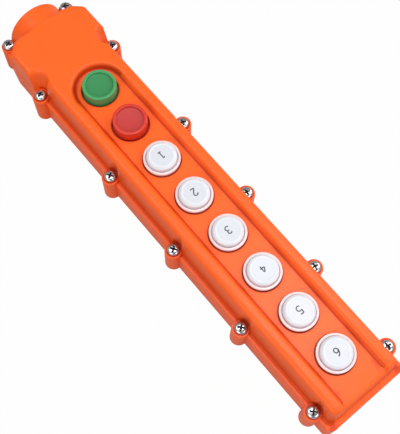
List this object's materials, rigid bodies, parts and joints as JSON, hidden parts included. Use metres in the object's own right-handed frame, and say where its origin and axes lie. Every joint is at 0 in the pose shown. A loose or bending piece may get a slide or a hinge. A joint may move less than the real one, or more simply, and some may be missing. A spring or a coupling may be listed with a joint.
{
  "type": "hoist pendant switch",
  "caption": "Hand-held hoist pendant control: long two-part orange housing with a recessed row of spring-return push buttons and a round cable neck.",
  "frame": {"origin": "middle of the bounding box at the flat back of the housing", "axes": "+Z is the way the buttons face, +Y runs along the housing to the cable neck, +X is across it to the right as the buttons face the viewer and the neck is up"},
  "size_m": [0.0846, 0.3956, 0.051],
  "materials": {
    "orange_housing": "smooth glossy moulded plastic",
    "green_cap": "satin moulded plastic",
    "red_cap": "satin moulded plastic",
    "white_cap": "glossy milky plastic",
    "black_rubber": "matt rubber",
    "zinc_steel": "bright zinc plating",
    "natural_plastic": "natural unpainted plastic",
    "black_plastic": "matt moulded plastic",
    "brass_contact": "bright stamped brass"
  },
  "bodies": {
    "housing": {"rear_cover": "orange_housing", "cover_gasket": "black_rubber", "front_cover": "orange_housing", "cable_bush": "black_rubber", "mounting_rail": "zinc_steel", "contact_block_1": "black_plastic", "contact_block_2": "black_plastic", "contact_block_3": "black_plastic", "contact_block_4": "black_plastic", "block_screw_1": "zinc_steel", "block_screw_2": "zinc_steel", "block_screw_3": "zinc_steel", "block_screw_4": "zinc_steel", "rail_screw_1": "zinc_steel", "rail_screw_2": "zinc_steel", "cover_screw_01": "zinc_steel", "cover_screw_02": "zinc_steel", "cover_screw_03": "zinc_steel", "cover_screw_04": "zinc_steel", "cover_screw_05": "zinc_steel", "cover_screw_06": "zinc_steel", "cover_screw_07": "zinc_steel", "cover_screw_08": "zinc_steel", "cover_screw_09": "zinc_steel", "cover_screw_10": "zinc_steel", "cover_screw_11": "zinc_steel", "cover_screw_12": "zinc_steel", "return_spring_1": "zinc_steel", "return_spring_2": "zinc_steel", "return_spring_3": "zinc_steel", "return_spring_4": "zinc_steel", "return_spring_5": "zinc_steel", "return_spring_6": "zinc_steel", "return_spring_7": "zinc_steel", "return_spring_8": "zinc_steel"},
    "start_button": {"cap_green": "green_cap", "plunger_1": "natural_plastic", "contact_bridge_1": "brass_contact"},
    "stop_button": {"cap_red": "red_cap", "plunger_2": "natural_plastic", "contact_bridge_2": "brass_contact"},
    "command_1_button": {"cap_white_1": "white_cap", "plunger_3": "natural_plastic", "contact_bridge_3": "brass_contact"},
    "command_2_button": {"cap_white_2": "white_cap", "plunger_4": "natural_plastic", "contact_bridge_4": "brass_contact"},
    "command_3_button": {"cap_white_3": "white_cap", "plunger_5": "natural_plastic", "contact_bridge_5": "brass_contact"},
    "command_4_button": {"cap_white_4": "white_cap", "plunger_6": "natural_plastic", "contact_bridge_6": "brass_contact"},
    "command_5_button": {"cap_white_5": "white_cap", "plunger_7": "natural_plastic", "contact_bridge_7": "brass_contact"},
    "command_6_button": {"cap_white_6": "white_cap", "plunger_8": "natural_plastic", "contact_bridge_8": "brass_contact"}
  },
  "joints": [
    {"name": "start_press", "type": "slide", "parent": "housing", "child": "start_button", "axis": [0, 0, -1], "range_m": [0, 0.004], "stiffness_N_per_m": 400, "springref_m": -0.003, "deforming": ["return_spring_1"]},
    {"name": "stop_press", "type": "slide", "parent": "housing", "child": "stop_button", "axis": [0, 0, -1], "range_m": [0, 0.004], "stiffness_N_per_m": 400, "springref_m": -0.003, "deforming": ["return_spring_2"]},
    {"name": "command_1_press", "type": "slide", "parent": "housing", "child": "command_1_button", "axis": [0, 0, -1], "range_m": [0, 0.004], "stiffness_N_per_m": 400, "springref_m": -0.003, "deforming": ["return_spring_3"]},
    {"name": "command_2_press", "type": "slide", "parent": "housing", "child": "command_2_button", "axis": [0, 0, -1], "range_m": [0, 0.004], "stiffness_N_per_m": 400, "springref_m": -0.003, "deforming": ["return_spring_4"]},
    {"name": "command_3_press", "type": "slide", "parent": "housing", "child": "command_3_button", "axis": [0, 0, -1], "range_m": [0, 0.004], "stiffness_N_per_m": 400, "springref_m": -0.003, "deforming": ["return_spring_5"]},
    {"name": "command_4_press", "type": "slide", "parent": "housing", "child": "command_4_button", "axis": [0, 0, -1], "range_m": [0, 0.004], "stiffness_N_per_m": 400, "springref_m": -0.003, "deforming": ["return_spring_6"]},
    {"name": "command_5_press", "type": "slide", "parent": "housing", "child": "command_5_button", "axis": [0, 0, -1], "range_m": [0, 0.004], "stiffness_N_per_m": 400, "springref_m": -0.003, "deforming": ["return_spring_7"]},
    {"name": "command_6_press", "type": "slide", "parent": "housing", "child": "command_6_button", "axis": [0, 0, -1], "range_m": [0, 0.004], "stiffness_N_per_m": 400, "springref_m": -0.003, "deforming": ["return_spring_8"]}
  ]
}
